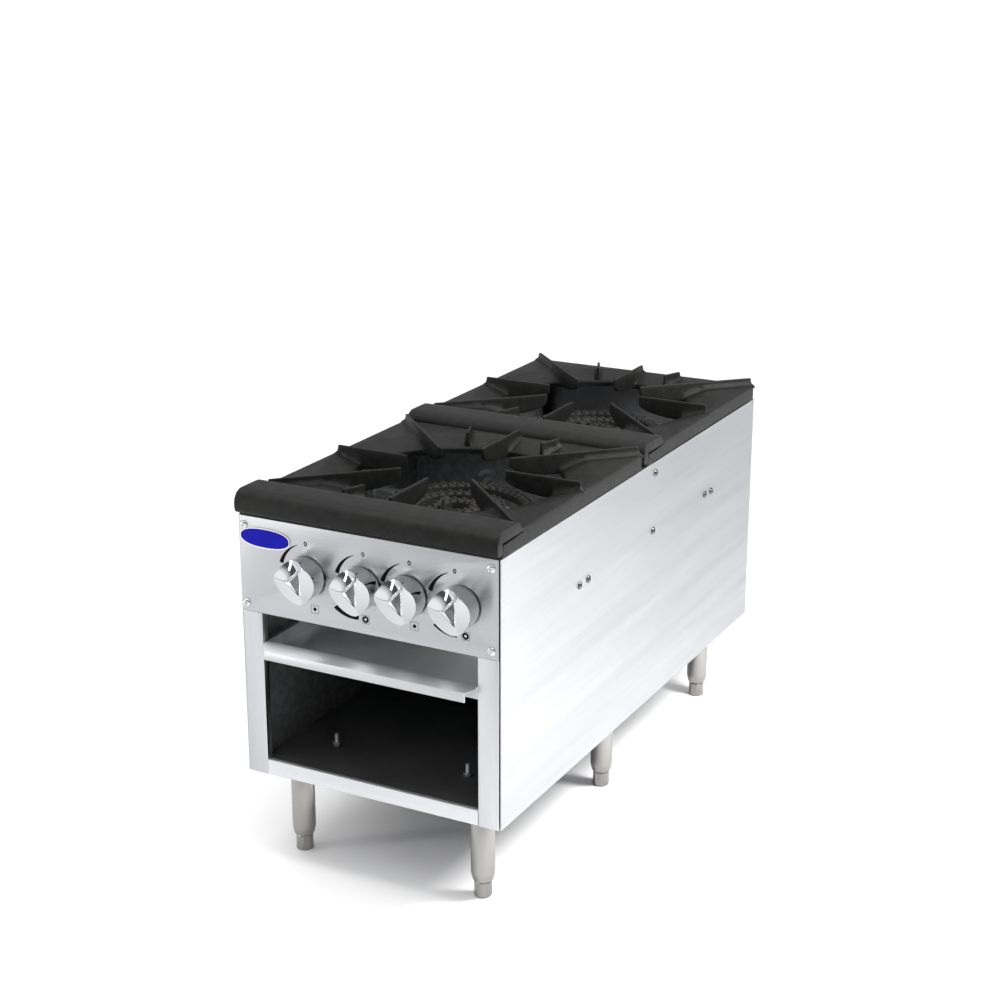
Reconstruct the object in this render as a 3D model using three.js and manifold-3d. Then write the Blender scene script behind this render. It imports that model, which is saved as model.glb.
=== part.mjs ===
// A floor-standing double stock pot range: an open steel cabinet on six legs, with a cast grate
// over a ring burner at the front and another at the rear, four gas knobs and a sliding drip tray.
// Millimetres, +Z up, the front faces -Y. Before the last shift, Y = 0 is the front of the
// control panel, X = 0 the middle of the cabinet and Z = 0 the floor.
import * as THREE from 'three';
import { mergeVertices } from 'three/addons/utils/BufferGeometryUtils.js';
import Module from 'manifold-3d';

const wasm = await Module();
wasm.setup();

// ---- Driving dimensions ----

// Cabinet
const width = 457;
const depth = 1027;
const legHeight = 152;
const bodyHeight = 431.5;
const sheet = 1.5;
const seat = 0.3; // left between pieces that touch
const returnWidth = 22; // folded edges of the side panels
const returnSetback = 24; // how far the folded edges stop short of the front
const sideReveal = 2; // the side panel starts this far behind the front
const frontReveal = 1.4; // dark line between the front and each side panel

// Front
const panelHeight = 155.5;
const panelReturn = 20;
const stileWidth = 35.1;
const stileReturn = 14;
const railHeight = 25.5;
const plateLength = 92;
const plateHeight = 33;
const plateThickness = 1.4;
const plateInset = 0.5; // from the end of the control panel
const plateDrop = 15; // below the top of the control panel
const plateCorner = 16;

// Inside the cabinet
const linerInset = 23.8;
const linerSetback = 30;
const linerTopDrop = 8.5;
const linerBackGap = 27;
const shieldBack = 66;
const shieldLift = 4; // over the bottom of the control panel
const middleWallSetback = 3; // this far before the back end of the front casting
const middleWallDrop = 183;
const middleFlange = 23;
const backFlange = 25;
const shelfSetback = 22;

// Drip tray and its runners
const trayGap = 14.9; // between the tray and each liner
const trayBackGap = 42;
const trayWall = 21;
const trayDrop = 48.5; // rim of the tray below the control panel
const trayFrontWall = 6;
const lipReach = 18;
const lipDrop = 6;
const lipFace = 15;
const lipCorner = 12;
const runnerWidth = 25;
const runnerHeight = 15;

// Legs, feet and the channels that carry them
const legRadius = 19;
const legTaper = 3;
const legTaperHeight = 12;
const legWall = 2;
const legCollar = 16;
const legInset = 62.5; // from the side of the cabinet
const frontLeg = 60;
const middleLegSetback = 5; // before the middle wall
const rearLegInset = 86;
const footHeight = 27.5;
const footRadius = 14.3;
const footSole = 13;
const footNeck = 12;
const stemRadius = 7.6;
const stemLength = 67.5;
const footSeat = 0.5;
const channelHalf = 45;
const boltInset = 107.5;
const boltY = 95;
const boltRadius = 4;
const boltTop = 22;
const nutRadius = 7.5;
const nutHeight = 6.5;
const boltTail = 12;

// Cast grates
const castingGap = 5; // between the two castings
const flangeHeight = 27.5;
const castWall = 6;
const plateWall = 7;
const bowlFront = 60; // where the dish starts, behind the front of the casting
const bowlBack = 6;
const bowlSide = 8.5;
const bowlDrop = 13.3;
const dishWidth = 44; // the slope from the border down to the opening
const dishSides = 48;
const lipHeight = 13; // the opening's lip, turned straight down
const ribTop = 13; // over the border of the casting
const ribWidth = 6;
const ribInner = 90;
const ribTip = 12;
const ribDepth = 34;
const shortInset = 4; // a short rib's inner end, outside the opening
const shortPast = 2; // its outer end, outside the dish
const shortFall = 9; // its top falls away to the border over this length
const cornerRibX = 13.5; // a front corner rib's end, from the side of the casting
const backCornerGap = 4; // a back corner rib's end, from the casting's corner
const frontRibGap = 20;
const backRibGap = 5;
const bandDepth = 57;
const bandFoot = 75;
const noseReach = 10;
const noseWall = 8;
const padLength = 42; // the casting rests on pads at its corners
const padHeight = 2.5;

// Burners
const burnerTop = 28.5; // below the top of the cabinet
const ringHeight = 17;
const ringWidth = 17;
const ringRadii = [31, 72, 116]; // middle of the small, middle and large rings
const spokeWidth = 12;
const venturiRadius = 13;
const venturiPast = 4; // the tube runs on this far past the middle of its riser
const mouthRadius = 17;
const mouthLength = 30;
const mouthBore = 11;
const mouthGap = 2; // from the valve's outlet
const mouthStep = 1.5; // the mouth's casting is this much thicker than the tube
const barWidth = 20;
const barHeight = 18;
const barBack = 50;

// Gas train
const knobInset = 62.6; // the last knob, from the right end of the control panel
const knobPitch = [98, 79, 90];
const valveDrop = 80.5; // below the top of the cabinet
const valveHalf = 13;
const valveFront = 30;
const valveBack = 58;
const outletRadius = 8;
const outletLength = 14;
const nippleRadius = 6;
const shaftRadius = 4;
const shaftHole = 7;
const manifoldBack = 45;
const manifoldDrop = 33; // below the valves
const manifoldRadius = 13.5;
const elbowRadius = 16.5;
const inletGap = 2.4; // between the elbow and the right liner
const inletReach = 25;
const inletBore = 10;
const supplyRadius = 5;
const fittingRadius = 9;
const fittingLength = 22;
const pilotRadius = 3;
const pilotHood = 6;
const pilotHoodHeight = 12;
const pilotHoodGap = 8.5; // outside the large ring
const pilotHoodBack = 42; // towards the front from the middle of the rings
const pilotDrop = 3; // the front pilot's tube below the valves
const frontPilotGap = 36; // from the first valve
const rearPilotInset = 37.9; // from the left liner
const pilotRise = 8;
const rearPilotBend = 20; // behind the heat shield
const rearPilotLead = 100; // before the middle of the front rings
const rearPilotPass = 18; // over the manifold beside the front rings
const wallLead = 40; // straight before the middle wall
const wallPast = 20; // and behind it
const wallSwing = 50; // from the hole in the wall towards the hood
const rearRingGap = 34; // before the rear large ring
const holeGap = 1.5;

// Knobs
const knobRadius = 34;
const knobBack = 32.5; // it is drawn in a little towards the panel
const knobGap = 2; // behind the knob
const knobDepth = 40;
const knobEdge = 1.5;
const ridgeAngles = [58, 169, 301]; // the three ridges across its face
const scoopEdges = [7, 5.5, 12.5]; // from the axis to the nearest edge of each scoop
const scoopDepth = 17;
const shaftSocket = 14;

// ---- Places worked out from them ----

const half = width / 2;
const bodyTop = legHeight + bodyHeight;
const inner = half - sheet - seat; // inside faces of the side panels, less the seat
const frontHalf = half - sheet - frontReveal;
const stileInner = frontHalf - stileWidth;
const panelBottom = bodyTop - panelHeight;
const shelfTop = legHeight + railHeight + 1;
const linerX = half - linerInset; // outer face of a liner
const linerInner = linerX - sheet - seat;
const trayTop = panelBottom - trayDrop;
const trayFloor = trayTop - trayWall - sheet;
const ringTop = bodyTop - burnerTop;
const ringBottom = ringTop - ringHeight;
const border = bodyTop + seat + flangeHeight;
const ribHeight = border + ribTop;
const grateDepth = (depth - noseReach - castingGap) / 2;
const gratePitch = grateDepth + noseReach + castingGap;
const grateHalfDepth = grateDepth / 2;
const bowlHalfY = (grateDepth - bowlFront - bowlBack) / 2;
const bowlCentre = bowlFront + bowlHalfY;
const bowlRadius = Math.min(half - bowlSide, bowlHalfY);
const openRadius = bowlRadius - dishWidth;
const rearY = bowlCentre + gratePitch;
const middleWallBack = grateDepth - middleWallSetback;
const legX = half - legInset;
const legY = [frontLeg, middleWallBack - middleLegSetback, depth - rearLegInset];
const boltX = half - boltInset;
const fourthX = frontHalf - knobInset;
const thirdX = fourthX - knobPitch[2];
const secondX = thirdX - knobPitch[1];
const valveX = [secondX - knobPitch[0], secondX, thirdX, fourthX];
const valveHeight = bodyTop - valveDrop;
const manifoldHeight = valveHeight - manifoldDrop;
const inletX = linerInner - inletGap - elbowRadius;

// ---- Shapes ----

// A closed geometry made a solid, with its faces pointing out.
function solid(geometry) {
  const bare = geometry.index ? geometry.toNonIndexed() : geometry.clone();
  bare.deleteAttribute('normal');
  bare.deleteAttribute('uv');
  const merged = mergeVertices(bare, 1e-4);
  const index = Array.from(merged.index.array);
  const faces = [];
  for (let i = 0; i < index.length; i += 3) {
    const [a, b, c] = index.slice(i, i + 3);
    if (a !== b && b !== c && c !== a) faces.push(a, b, c);
  }
  const build = (triVerts) => new wasm.Manifold(new wasm.Mesh({
    numProp: 3,
    vertProperties: new Float32Array(merged.attributes.position.array),
    triVerts: new Uint32Array(triVerts),
  }));
  const body = build(faces);
  if (body.volume() > 0) return body;
  const turned = [];
  for (let i = 0; i < faces.length; i += 3) turned.push(faces[i], faces[i + 2], faces[i + 1]);
  return build(turned);
}

const join = (...bodies) => bodies.reduce((whole, body) => whole.add(body));
const cut = (body, ...tools) => tools.reduce((whole, tool) => whole.subtract(tool), body);

function block(x0, x1, y0, y1, z0, z1) {
  const geometry = new THREE.BoxGeometry(x1 - x0, y1 - y0, z1 - z0);
  return solid(geometry.translate((x0 + x1) / 2, (y0 + y1) / 2, (z0 + z1) / 2));
}

// The same block on the left (side -1) or on the right (side 1).
function sideBlock(side, x0, x1, ...rest) {
  return side > 0 ? block(x0, x1, ...rest) : block(-x1, -x0, ...rest);
}

// An outline pushed along an axis. Its points are (y, z) along x, (x, z) along y, (x, y) along z.
function prism(points, axis, from, to) {
  const shape = new THREE.Shape(points.map(([a, b]) => new THREE.Vector2(a, b)));
  const geometry = new THREE.ExtrudeGeometry(shape, { depth: to - from, bevelEnabled: false });
  const x = new THREE.Vector3(1, 0, 0);
  const y = new THREE.Vector3(0, 1, 0);
  const z = new THREE.Vector3(0, 0, 1);
  const turn = new THREE.Matrix4();
  if (axis === 'x') turn.makeBasis(y, z, x).setPosition(from, 0, 0);
  if (axis === 'y') turn.makeBasis(x, z, y.clone().negate()).setPosition(0, to, 0);
  if (axis === 'z') turn.makeBasis(x, y, z).setPosition(0, 0, from);
  return solid(geometry.applyMatrix4(turn));
}

// A profile of (radius, height) points turned about an axis through a place.
function turned(profile, axis, [x, y, z], sides = 20) {
  const points = profile.map(([radius, height]) => new THREE.Vector2(radius, height));
  const geometry = new THREE.LatheGeometry(points, sides);
  if (axis === 'z') geometry.rotateX(Math.PI / 2);
  if (axis === 'x') geometry.rotateZ(-Math.PI / 2);
  return solid(geometry.translate(x, y, z));
}

// A round bar along an axis, from one place on it to another. The two fixed coordinates come in
// the order x, y, z.
function rod(axis, [a, b], radius, from, to, sides = 16) {
  const profile = [[0, from], [radius, from], [radius, to], [0, to]];
  const place = { x: [0, a, b], y: [a, 0, b], z: [a, b, 0] }[axis];
  return turned(profile, axis, place, sides);
}

// A round tube, drawn solid, along a smooth line through the given points.
function tube(points, radius, steps, sides = 8) {
  const line = new THREE.CatmullRomCurve3(points.map((p) => new THREE.Vector3(...p)), false, 'centripetal');
  const section = new THREE.Shape();
  for (let i = 0; i < sides; i += 1) {
    const angle = (i / sides) * 2 * Math.PI;
    const step = i ? 'lineTo' : 'moveTo';
    section[step](radius * Math.cos(angle), radius * Math.sin(angle));
  }
  return solid(new THREE.ExtrudeGeometry(section, { steps, extrudePath: line, bevelEnabled: false }));
}

// A rounded rectangle about a centre, as a list of points.
function roundedLoop(cx, cy, halfX, halfY, corner, perCorner = 6) {
  const loop = [];
  for (let quarter = 0; quarter < 4; quarter += 1) {
    const signX = quarter === 0 || quarter === 3 ? 1 : -1;
    const signY = quarter < 2 ? 1 : -1;
    for (let i = 0; i <= perCorner; i += 1) {
      const angle = (quarter + i / perCorner) * (Math.PI / 2);
      loop.push([
        cx + signX * (halfX - corner) + corner * Math.cos(angle),
        cy + signY * (halfY - corner) + corner * Math.sin(angle),
      ]);
    }
  }
  return loop;
}

// ---- Materials ----

const finish = (color, roughness, metalness) => (
  () => new THREE.MeshStandardMaterial({ color, roughness, metalness })
);
const stainless = finish(0xc9cacc, 0.3, 1);
const darkSheet = finish(0x1c1c1c, 0.7, 0.3);
const castIron = finish(0x3c3c39, 0.75, 0.4);
const chrome = finish(0xe6e8ea, 0.12, 1);
const brass = finish(0xb8995a, 0.4, 1);
const blackPipe = finish(0x2b2b2b, 0.55, 0.6);
const aluminiumTube = finish(0xa8abae, 0.4, 1);
const zinc = finish(0xb9bcc0, 0.35, 1);
const enamel = finish(0x1d3fa8, 0.3, 0.1);

const range = new THREE.Group();

function add(name, body, material) {
  const { vertProperties, triVerts } = body.getMesh();
  const geometry = new THREE.BufferGeometry();
  geometry.setAttribute('position', new THREE.Float32BufferAttribute(vertProperties, 3));
  geometry.setIndex(Array.from(triVerts));
  geometry.computeVertexNormals();
  const mesh = new THREE.Mesh(geometry, material());
  mesh.name = name;
  range.add(mesh);
  return mesh;
}

// ---- Cabinet ----

// Each side is one sheet, folded in at the top, where the grates rest, and at the bottom.
function sidePanel(side) {
  const back = depth - sheet - returnSetback / 8;
  return join(
    sideBlock(side, half - sheet, half, sideReveal, depth, legHeight, bodyTop),
    sideBlock(side, half - returnWidth, half, returnSetback, back, bodyTop - sheet, bodyTop),
    sideBlock(side, half - returnWidth, half, returnSetback, back, legHeight, legHeight + sheet),
  );
}
add('side_panel_left', sidePanel(-1), stainless);
add('side_panel_right', sidePanel(1), stainless);

// The back closes the cabinet and is folded forward at the top under the rear grate.
const backPanel = cut(
  join(
    block(-inner, inner, depth - sheet, depth, legHeight + seat, bodyTop - seat),
    block(-linerInner, linerInner, depth - backFlange, depth, bodyTop - sheet, bodyTop),
  ),
  rod('y', [inletX, manifoldHeight], manifoldRadius + holeGap, depth - backFlange, depth + 1),
);
add('back_panel', backPanel, stainless);

// A front stile is a channel: its face, and a fold at each edge.
function stile(side) {
  const top = panelBottom - seat;
  return join(
    sideBlock(side, stileInner, frontHalf, 0, sheet, legHeight, top),
    sideBlock(side, stileInner, stileInner + sheet, 0, stileReturn, legHeight, top),
    sideBlock(side, frontHalf - sheet, frontHalf, 0, stileReturn, legHeight, top),
  );
}
add('stile_left', stile(-1), stainless);
add('stile_right', stile(1), stainless);

// The control panel is folded back on all four sides and bored for the valve shafts.
const panelHoles = valveX.map((x) => rod('y', [x, valveHeight], shaftHole, -1, sheet + 1));
const controlPanel = cut(
  join(
    block(-frontHalf, frontHalf, 0, sheet, panelBottom, bodyTop),
    block(-frontHalf, frontHalf, 0, panelReturn, bodyTop - sheet, bodyTop),
    block(-frontHalf, frontHalf, 0, panelReturn, panelBottom, panelBottom + sheet),
    sideBlock(-1, frontHalf - sheet, frontHalf, 0, panelReturn, panelBottom, bodyTop),
    sideBlock(1, frontHalf - sheet, frontHalf, 0, panelReturn, panelBottom, bodyTop),
  ),
  ...panelHoles,
);
add('control_panel', controlPanel, stainless);

const plateX = -frontHalf + plateInset + plateLength / 2;
const plateZ = bodyTop - plateDrop - plateHeight / 2;
const plateLoop = roundedLoop(plateX, plateZ, plateLength / 2, plateHeight / 2, plateCorner, 5);
add('badge_plate', prism(plateLoop, 'y', -seat - plateThickness, -seat), enamel);

// The shelf floors the storage space; its front edge is folded down as the bottom rail.
const boltHoles = [-1, 1].map((side) => (
  rod('z', [side * boltX, boltY], boltRadius + holeGap, shelfTop - sheet - 1, shelfTop + 1)
));
const shelf = cut(
  join(
    block(-inner, inner, shelfSetback, depth - sheet - seat, shelfTop - sheet, shelfTop),
    block(-stileInner + seat, stileInner - seat, 0, shelfSetback, shelfTop - sheet, shelfTop),
    block(-stileInner + seat, stileInner - seat, 0, sheet, shelfTop - railHeight, shelfTop),
  ),
  ...boltHoles,
);
add('shelf', shelf, darkSheet);

// ---- Inside walls ----

const linerBottom = shelfTop + seat;
const linerTop = bodyTop - linerTopDrop;
const linerBack = depth - linerBackGap;

// A liner stands on the shelf and is folded out at the top to meet its side panel.
function liner(side) {
  return join(
    sideBlock(side, linerX - sheet, linerX, linerSetback, linerBack, linerBottom, linerTop),
    sideBlock(side, linerX - sheet, inner, linerSetback, linerBack, linerTop - sheet, linerTop),
  );
}
add('liner_left', liner(-1), darkSheet);
add('liner_right', liner(1), darkSheet);

const pipeHole = (x, z, radius, y) => rod('y', [x, z], radius + holeGap, y - 2, y + sheet + 2);

// The heat shield keeps the burner box's heat off the valves.
const pilotFrontX = valveX[0] - frontPilotGap;
const pilotRearX = rearPilotInset - linerInner;
const pilotHeight = valveHeight - pilotDrop;
const heatShield = cut(
  block(-linerInner, linerInner, shieldBack, shieldBack + sheet, panelBottom + shieldLift, linerTop),
  ...valveX.map((x) => pipeHole(x, valveHeight, outletRadius, shieldBack)),
  pipeHole(inletX, manifoldHeight, manifoldRadius, shieldBack),
  pipeHole(pilotFrontX, pilotHeight, pilotRadius, shieldBack),
  pipeHole(pilotRearX, manifoldHeight, pilotRadius, shieldBack),
);
add('heat_shield', heatShield, darkSheet);

// The middle wall parts the two burner boxes, and its top fold carries both grates. A curved
// slot over a round hole lets the rear pilot's tube through.
const wallHoleX = -60;
const wallHoleDrop = 63.5;
const wallHoleZ = bodyTop - wallHoleDrop;
const wallHoleRadius = 11;
const slotInner = 17;
const slotOuter = 25;
const slotSpan = 0.36; // of a half turn, each side of straight up
function curvedSlot(steps = 8) {
  const points = [];
  for (let i = 0; i <= steps; i += 1) {
    const angle = Math.PI * (0.5 + slotSpan * (1 - (2 * i) / steps));
    points.push([slotOuter * Math.cos(angle), slotOuter * Math.sin(angle)]);
  }
  for (let i = steps; i >= 0; i -= 1) {
    const angle = Math.PI * (0.5 + slotSpan * (1 - (2 * i) / steps));
    points.push([slotInner * Math.cos(angle), slotInner * Math.sin(angle)]);
  }
  const placed = points.map(([x, z]) => [wallHoleX + x, wallHoleZ + z]);
  return prism(placed, 'y', middleWallBack - 1, middleWallBack + sheet + 1);
}
const middleWall = cut(
  join(
    block(-linerInner, linerInner, middleWallBack, middleWallBack + sheet, bodyTop - middleWallDrop, bodyTop),
    block(-linerInner, linerInner, middleWallBack, middleWallBack + middleFlange, bodyTop - sheet, bodyTop),
  ),
  rod('y', [wallHoleX, wallHoleZ], wallHoleRadius, middleWallBack - 1, middleWallBack + sheet + 1),
  curvedSlot(),
  pipeHole(valveX[2], valveHeight, fittingRadius, middleWallBack),
  pipeHole(valveX[3], valveHeight, fittingRadius, middleWallBack),
  pipeHole(inletX, manifoldHeight, manifoldRadius, middleWallBack),
);
add('middle_wall', middleWall, darkSheet);

// ---- Drip tray ----

// A folded tray with a sloping front strip that ends in a turned-down grip, cut off at its corners.
const trayHalf = linerInner - trayGap;
const trayDepth = depth - trayBackGap;
const lipLow = trayTop - lipDrop - lipFace;
const lipProfile = [
  [trayFrontWall + sheet / 2, trayTop],
  [0, trayTop],
  [-lipReach, trayTop - lipDrop],
  [-lipReach, lipLow],
  [-lipReach + sheet, lipLow],
  [-lipReach + sheet, trayTop - lipDrop - sheet],
  [0, trayTop - sheet],
  [trayFrontWall + sheet / 2, trayTop - sheet],
];
function lipCut(side) {
  const x = side * (trayHalf + 1);
  const corner = [[x, -lipReach - 1], [x, -lipReach + lipCorner], [x - side * (lipCorner + 1), -lipReach - 1]];
  return prism(side > 0 ? corner : corner.reverse(), 'z', lipLow - 1, trayTop + 1);
}
const tray = cut(
  join(
    cut(
      block(-trayHalf, trayHalf, trayFrontWall, trayDepth, trayFloor, trayTop),
      block(
        -trayHalf + sheet,
        trayHalf - sheet,
        trayFrontWall + sheet,
        trayDepth - sheet,
        trayFloor + sheet,
        trayTop + 1,
      ),
    ),
    prism(lipProfile, 'x', -trayHalf, trayHalf),
  ),
  lipCut(-1),
  lipCut(1),
);
add('drip_tray', tray, stainless);

// A runner is an angle fixed to its liner, and the tray slides on its flat leg.
const runnerTop = trayFloor - seat;
function runner(side) {
  const outer = linerInner;
  return join(
    sideBlock(side, outer - runnerWidth, outer, linerSetback, linerBack, runnerTop - sheet, runnerTop),
    sideBlock(side, outer - sheet, outer, linerSetback, linerBack, runnerTop - sheet, runnerTop + runnerHeight),
  );
}
add('tray_runner_left', runner(-1), zinc);
add('tray_runner_right', runner(1), zinc);

// ---- Legs ----

// Three open channels lie across the folded bottom edges and carry a pair of legs each.
const channelBottom = legHeight + sheet + seat;
const channelTop = shelfTop - sheet - seat;
const legTop = channelBottom - seat;
['front', 'middle', 'rear'].forEach((place, row) => {
  const y = legY[row];
  const wall = (from) => block(-inner, inner, from, from + sheet, channelBottom, channelTop);
  const channel = join(
    block(-inner, inner, y - channelHalf, y + channelHalf, channelBottom, channelBottom + sheet),
    wall(y - channelHalf),
    wall(y + channelHalf - sheet),
  );
  add(`leg_channel_${place}`, channel, zinc);
});

// A leg is a steel tube, capped at the top and drawn in at the foot round a threaded collar.
const legBottom = footHeight + footSeat;
const legBore = stemRadius + footSeat;
const legProfile = [
  [0, legTop - legWall * 2],
  [legRadius - legWall, legTop - legWall * 2],
  [legRadius - legWall, legBottom + legCollar],
  [legBore, legBottom + legCollar],
  [legBore, legBottom],
  [legRadius - legTaper, legBottom],
  [legRadius, legBottom + legTaperHeight],
  [legRadius, legTop],
  [0, legTop],
];
const footProfile = [
  [0, 0],
  [footSole, 0],
  [footRadius, 2],
  [footRadius, footHeight - 4],
  [footNeck, footHeight],
  [stemRadius, footHeight],
  [stemRadius, footHeight + stemLength],
  [0, footHeight + stemLength],
];
let legNumber = 0;
legY.forEach((y) => {
  [-1, 1].forEach((side) => {
    legNumber += 1;
    add(`leg_${legNumber}`, turned(legProfile, 'z', [side * legX, y, 0]), stainless);
    add(`foot_${legNumber}`, turned(footProfile, 'z', [side * legX, y, 0], 12), stainless);
  });
});

// Two bolts stand up through the shelf over the front channel, each with its nut.
[['left', -1], ['right', 1]].forEach(([name, side]) => {
  const place = [side * boltX, boltY];
  const bolt = join(
    rod('z', place, boltRadius, channelBottom + sheet + boltTail / 2, shelfTop + boltTop, 12),
    rod('z', place, nutRadius, shelfTop + seat, shelfTop + seat + nutHeight, 6),
  );
  add(`shelf_bolt_${name}`, bolt, zinc);
});

// ---- Grates ----

// A rib is a fin that stands on the casting and reaches in over the opening.
function rib(degrees, centreY, outerRadius, innerRadius, depthBelow) {
  const tipLow = ribHeight - ribTip;
  const low = ribHeight - depthBelow;
  const reach = openRadius - innerRadius;
  const outline = [
    [outerRadius, border - plateWall],
    [outerRadius, ribHeight],
    [innerRadius + 2, ribHeight],
    [innerRadius, ribHeight - 2],
  ];
  for (let i = 0; i <= 4; i += 1) {
    const angle = (i / 4) * (Math.PI / 2);
    outline.push([
      innerRadius + reach * (1 - Math.cos(angle)),
      tipLow - (tipLow - low) * Math.sin(angle),
    ]);
  }
  return fin(outline, degrees, centreY);
}

function fin(outline, degrees, centreY) {
  const flat = prism(outline, 'y', -ribWidth / 2, ribWidth / 2);
  return flat.rotate([0, 0, degrees]).translate([0, centreY, 0]);
}

// A short rib stands on the dish only, and its outer end falls away to the border.
function shortRib(degrees, centreY) {
  const from = openRadius + shortInset;
  const to = bowlRadius + shortPast;
  const outline = [
    [from, border - bowlDrop - 2],
    [to, border - plateWall / 2],
    [to, border + 2],
    [to - shortFall / 4, ribHeight - ribTop / 3],
    [to - shortFall, ribHeight],
    [from, ribHeight],
  ];
  return fin(outline, degrees, centreY);
}

// The front band is a rounded channel, open below and closed at its ends.
function frontBand(front) {
  const top = ribHeight + 1;
  const low = border - flangeHeight + 7;
  const outside = [
    [front + bandFoot, border - plateWall],
    [front + bandFoot, border],
    [front + bandDepth, top],
    [front + 10, top],
    [front + 2, top - 2],
    [front - 5, top - 8],
    [front - 9, top - 16],
    [front - noseReach, top - 24],
    [front - 8, low + 2],
    [front - 2, low - 2],
  ];
  const inside = [
    [front + 1, low + 3],
    [front + 1, top - 16],
    [front + 6, top - 10],
    [front + 12, top - noseWall],
    [front + bandDepth - 2, top - noseWall],
  ];
  const shell = prism([...outside, ...inside], 'x', -half, half);
  const end = (x) => prism(outside, 'x', x, x + castWall);
  return join(shell, end(-half), end(half - castWall));
}

function grate(front) {
  const bottom = bodyTop + seat;
  const under = border - plateWall;
  const lip = border - bowlDrop;
  const middle = front + grateHalfDepth;
  const centreY = front + bowlCentre;
  const disc = (radius, low, high) => rod('z', [0, centreY], radius, low, high, dishSides);
  const rim = cut(
    prism(roundedLoop(0, middle, half, grateHalfDepth, 6), 'z', bottom, border),
    prism(roundedLoop(0, middle, half - castWall, grateHalfDepth - castWall, 6), 'z', bottom - 1, under),
    disc(bowlRadius, under - 1, border + 1),
  );
  const dish = turned([
    [bowlRadius + 1, border],
    [bowlRadius, border],
    [openRadius, lip],
    [openRadius, lip - lipHeight],
    [openRadius + castWall, lip - lipHeight],
    [openRadius + castWall, lip - castWall],
    [bowlRadius - castWall, under],
    [bowlRadius + 1, under],
    [bowlRadius + 1, border],
  ], 'z', [0, centreY, 0], dishSides);
  const frontCorner = Math.SQRT2 * Math.min(half - cornerRibX, bowlCentre - bowlFront);
  const backCorner = Math.SQRT2 * (Math.min(half, grateDepth - bowlCentre) - backCornerGap);
  const ribs = [];
  for (let i = 0; i < 8; i += 1) {
    const degrees = i * 45;
    const diagonal = i < 4 ? backCorner : frontCorner;
    const straight = i % 4 === 0 ? half : grateDepth - bowlCentre - (i === 6 ? frontRibGap : backRibGap);
    ribs.push(rib(degrees, centreY, i % 2 ? diagonal : straight, ribInner, ribDepth));
  }
  [90, 270].forEach((degrees) => {
    ribs.push(shortRib(degrees - 22.5, centreY), shortRib(degrees + 22.5, centreY));
  });
  const hollow = block(
    -half + castWall,
    half - castWall,
    front + noseWall,
    front + bandDepth - 2,
    bottom - 1,
    ribHeight + 1 - noseWall,
  );
  const relief = block(
    -half - 1,
    half + 1,
    front + padLength,
    front + grateDepth - padLength,
    bottom - 1,
    bottom + padHeight,
  );
  return cut(join(rim, dish, frontBand(front), ...ribs), hollow, relief);
}
add('front_grate', grate(0), castIron);
add('rear_grate', grate(gratePitch), castIron);

// ---- Burners ----

function burnerRing(radius, y) {
  const low = ringBottom;
  const wide = ringWidth / 2;
  const profile = [
    [radius - wide, low],
    [radius + wide, low],
    [radius + wide, ringTop - 4],
    [radius + wide - 4, ringTop],
    [radius - wide + 4, ringTop],
    [radius - wide, ringTop - 4],
    [radius - wide, low],
  ];
  return turned(profile, 'z', [0, y, 0], 28);
}

// A mixing tube runs from its mouth to under a ring and turns up into it.
function venturi(mouthX, mouthY, ringX, ringY) {
  const z = valveHeight;
  const start = new THREE.Vector3(mouthX, mouthY + mouthLength / 2, z);
  const run = new THREE.Vector3(ringX, ringY, z).sub(start);
  const end = start.clone().addScaledVector(run, 1 + venturiPast / run.length());
  const path = [start.toArray(), end.toArray()];
  const mouth = turned(
    [[0, 0], [mouthRadius, 0], [mouthRadius, 4], [venturiRadius + mouthStep, mouthLength], [0, mouthLength]],
    'z',
    [0, 0, 0],
    16,
  ).rotate([-90, 0, 0]).translate([mouthX, mouthY, z]);
  const bore = rod('y', [mouthX, z], mouthBore, mouthY - 1, mouthY + mouthLength * 0.6, 12);
  const riser = rod('z', [ringX, ringY], venturiRadius - 2, z - venturiRadius + 1, ringBottom + 2, 12);
  return cut(join(mouth, tube(path, venturiRadius, 1, 12), riser), bore);
}

const ringPoint = (radius, degrees, y) => {
  const angle = THREE.MathUtils.degToRad(degrees);
  return [radius * Math.cos(angle), y + radius * Math.sin(angle)];
};

function outerBurner(y, mouthX, mouthY, degrees) {
  const [x, ringY] = ringPoint(ringRadii[2], degrees, y);
  return join(burnerRing(ringRadii[2], y), venturi(mouthX, mouthY, x, ringY));
}

function innerBurner(y, mouthX, mouthY, degrees) {
  const [x, ringY] = ringPoint(ringRadii[1], degrees, y);
  const spokes = [0, 90, 180, 270].map((turn) => (
    block(ringRadii[0], ringRadii[1], -spokeWidth / 2, spokeWidth / 2, ringBottom + 1, ringTop - 6)
      .rotate([0, 0, turn + 45]).translate([0, y, 0])
  ));
  return join(
    burnerRing(ringRadii[1], y),
    burnerRing(ringRadii[0], y),
    ...spokes,
    venturi(mouthX, mouthY, x, ringY),
  );
}

const frontMouth = valveBack + outletLength + mouthGap;
const rearMouth = middleWallBack + fittingLength / 2 + mouthGap;
add('front_outer_burner', outerBurner(bowlCentre, valveX[1], frontMouth, -92), castIron);
add('front_inner_burner', innerBurner(bowlCentre, valveX[0], frontMouth, -135), castIron);
add('rear_outer_burner', outerBurner(rearY, valveX[3], rearMouth, -30), castIron);
add('rear_inner_burner', innerBurner(rearY, valveX[2], rearMouth, -45), castIron);

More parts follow.
